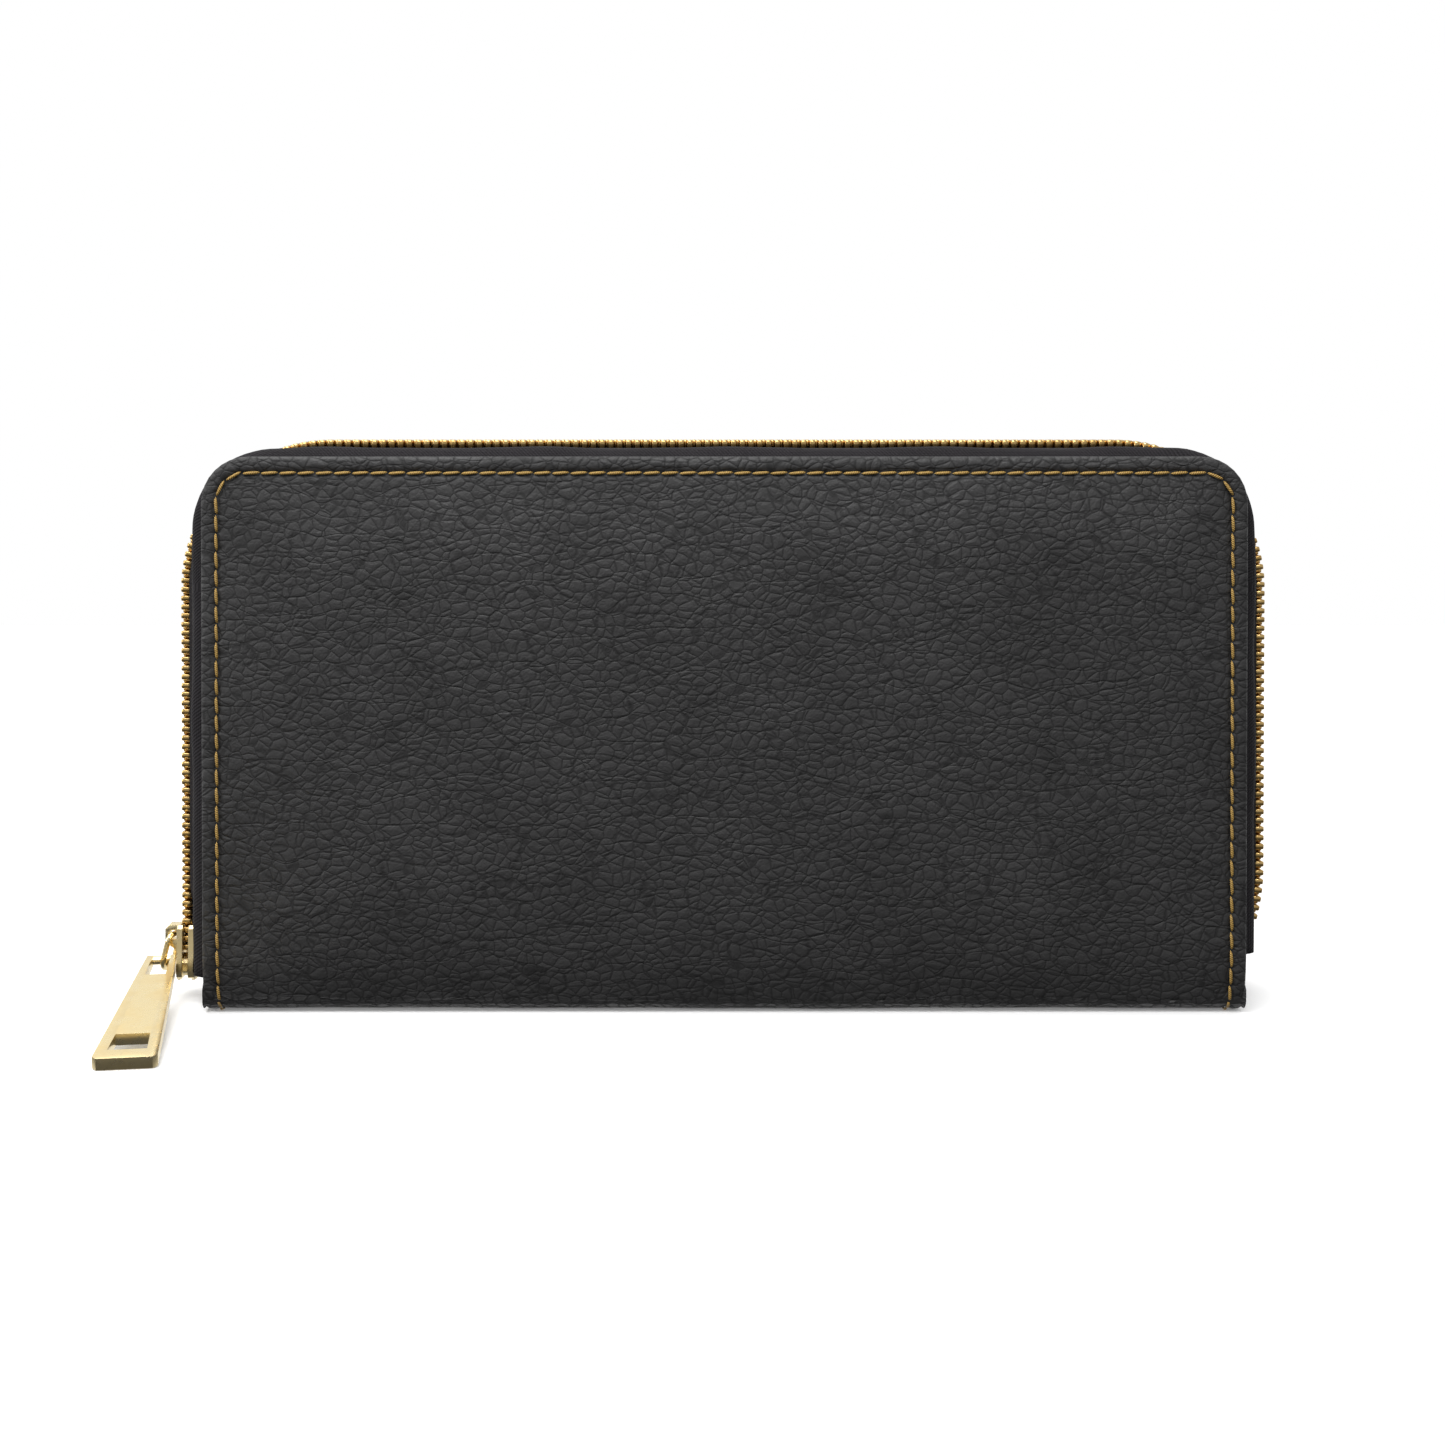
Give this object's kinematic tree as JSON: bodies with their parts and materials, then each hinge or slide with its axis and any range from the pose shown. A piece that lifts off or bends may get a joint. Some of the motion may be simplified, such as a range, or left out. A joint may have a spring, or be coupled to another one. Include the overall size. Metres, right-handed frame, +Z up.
{
  "type": "zip around wallet",
  "caption": "Long zip-around wallet standing closed on its spine, with a metal zip round three sides, pull tab, card pockets, banknote compartments and a zipped coin pocket.",
  "frame": {"origin": "middle of the flat under the spine, on the surface that the wallet stands on", "axes": "+X along the spine, to the right seen from the front; +Y from the front cover to the back cover; +Z up"},
  "size_m": [0.2202, 0.0525, 0.11],
  "materials": {
    "leather": "pebbled, semi-matt",
    "board": "plain board",
    "lining": "woven, matt",
    "pocket_leather": "smooth, semi-matt",
    "zip_tape": "woven twill",
    "zip_teeth": "polished gold",
    "thread": "waxed thread",
    "hardware": "satin pale gold"
  },
  "bodies": {
    "spine": {"spine_leather": "leather", "spine_board": "board", "spine_lining": "lining", "coin_pocket_front": "lining", "coin_pocket_back": "lining", "coin_pocket_bottom": "lining", "coin_zip_tape_front": "zip_tape", "coin_zip_tape_back": "zip_tape", "coin_zip_coil_front": "zip_teeth", "coin_zip_coil_back": "zip_teeth", "gusset_front_left": "lining", "gusset_front_right": "lining", "gusset_back_left": "lining", "gusset_back_right": "lining"},
    "front_cover": {"front_leather": "leather", "front_board": "board", "front_lining": "lining", "front_stitching": "thread", "front_card_pocket_1": "pocket_leather", "front_card_pocket_2": "pocket_leather", "front_card_pocket_3": "pocket_leather", "front_card_pocket_4": "pocket_leather", "front_zip_tape": "zip_tape", "front_zip_teeth": "zip_teeth"},
    "back_cover": {"back_leather": "leather", "back_board": "board", "back_lining": "lining", "back_stitching": "thread", "back_sleeve_1": "pocket_leather", "back_sleeve_2": "pocket_leather", "back_zip_tape": "zip_tape", "back_zip_teeth": "zip_teeth", "zip_bottom_stop": "zip_teeth"},
    "slider": {"zip_slider": "hardware"},
    "ring": {"pull_ring": "hardware"},
    "tab": {"pull_tab": "hardware"},
    "coin_slider": {"coin_zip_slider": "hardware"},
    "coin_pull": {"coin_zip_pull": "hardware"}
  },
  "joints": [
    {"name": "front_cover_hinge", "type": "hinge", "parent": "spine", "child": "front_cover", "pos_m": [0, -0.01145, 0.0056], "axis": [1, 0, 0], "range_deg": [0, 38], "deforming": ["front_zip_tape", "front_zip_teeth", "back_zip_teeth", "gusset_front_left", "gusset_front_right"]},
    {"name": "back_cover_hinge", "type": "hinge", "parent": "spine", "child": "back_cover", "pos_m": [0, 0.01145, 0.0056], "axis": [-1, 0, 0], "range_deg": [0, 38], "deforming": ["back_zip_tape", "back_zip_teeth", "front_zip_teeth", "gusset_back_left", "gusset_back_right"]},
    {"name": "zip_slide", "type": "slide", "parent": "back_cover", "child": "slider", "axis": [0, 0, 1], "range_m": [0, 0.065], "deforming": ["front_zip_tape", "front_zip_teeth", "back_zip_tape", "back_zip_teeth"]},
    {"name": "ring_swing", "type": "hinge", "parent": "slider", "child": "ring", "pos_m": [-0.1084, 0, 0.0123], "axis": [0, 1, 0], "range_deg": [0, 110]},
    {"name": "tab_swing", "type": "hinge", "parent": "ring", "child": "tab", "pos_m": [-0.10972, 0, 0.00701], "axis": [0.9925, 0.1219, 0], "range_deg": [-45, 70]},
    {"name": "coin_zip_slide", "type": "slide", "parent": "spine", "child": "coin_slider", "axis": [1, 0, 0], "range_m": [0, 0.14], "deforming": ["coin_zip_coil_front", "coin_zip_coil_back"]},
    {"name": "coin_pull_swing", "type": "hinge", "parent": "coin_slider", "child": "coin_pull", "pos_m": [-0.07205, 0, 0.08895], "axis": [0, -1, 0], "range_deg": [0, 170]}
  ]
}
